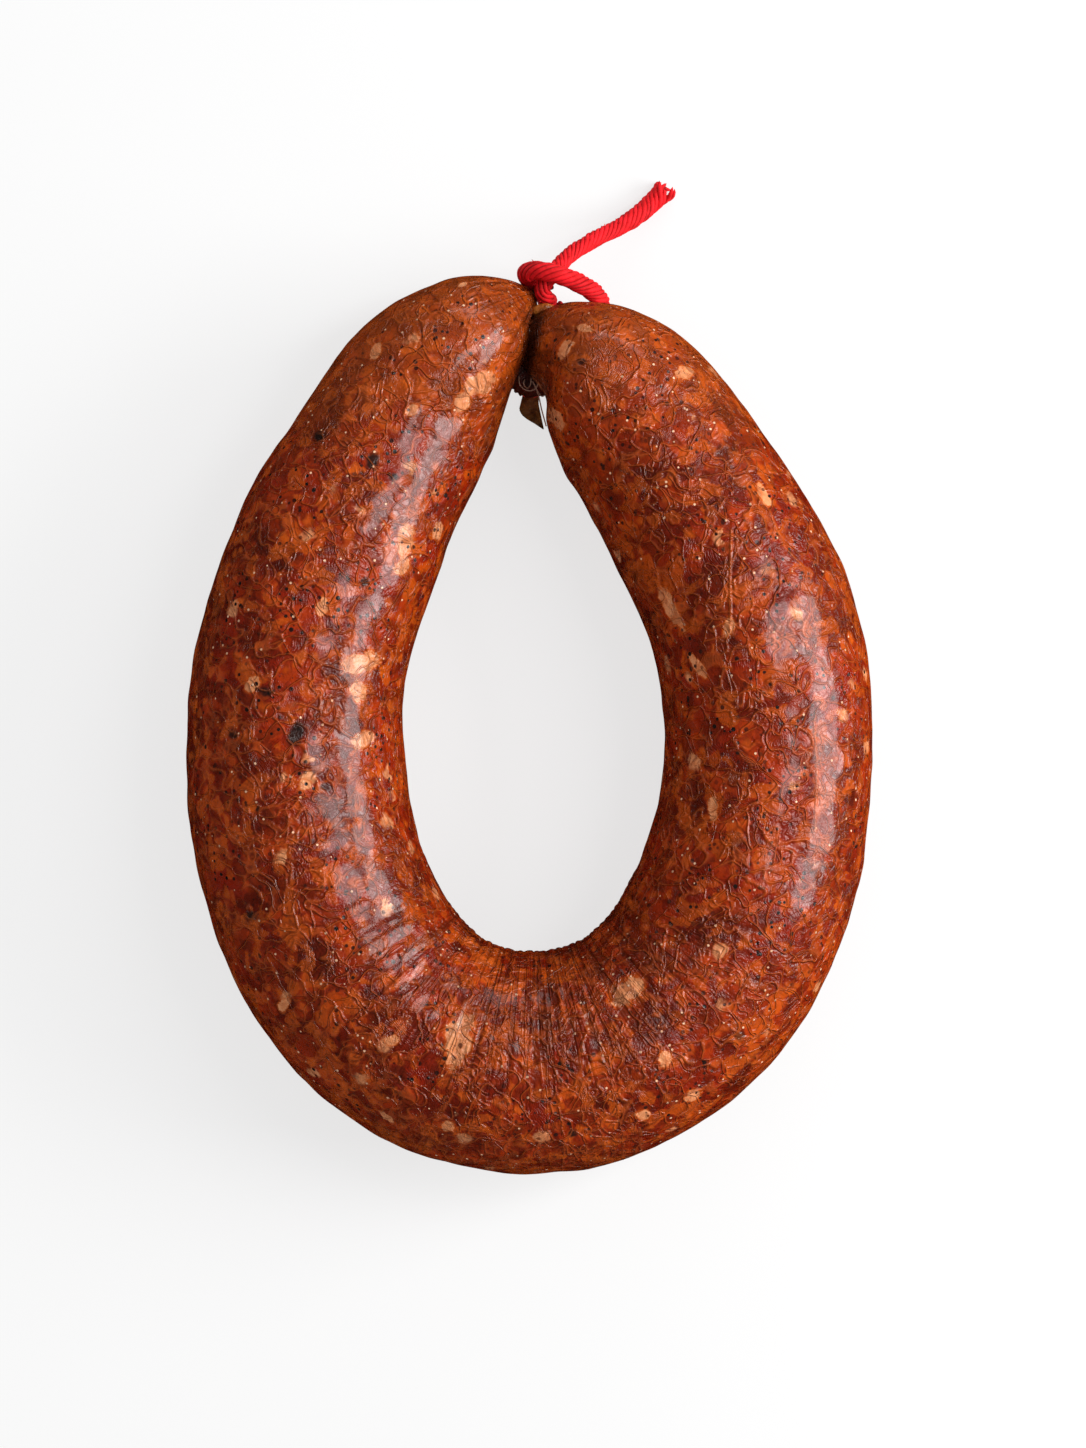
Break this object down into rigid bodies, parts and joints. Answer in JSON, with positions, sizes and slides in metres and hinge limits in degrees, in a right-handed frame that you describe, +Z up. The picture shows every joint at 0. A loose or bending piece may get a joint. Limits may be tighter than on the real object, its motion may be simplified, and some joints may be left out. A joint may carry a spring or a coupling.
{
  "type": "cured sausage",
  "caption": "Horseshoe-shaped cured sausage in a natural casing, lying flat, its two gathered ends pressed together and tied with one length of red twine.",
  "frame": {"origin": "middle of the sausage's bounding box, on the surface that it lies on; the twine isn't counted", "axes": "+Z up from the surface; +Y from the bend towards the tied ends; +X to the right seen from above with the tied ends away from the viewer"},
  "size_m": [0.1202, 0.176, 0.0388],
  "materials": {
    "casing": "gloss",
    "twine": "matte"
  },
  "bodies": {
    "root": {"sausage": "casing", "tie_string": "twine"}
  },
  "joints": []
}
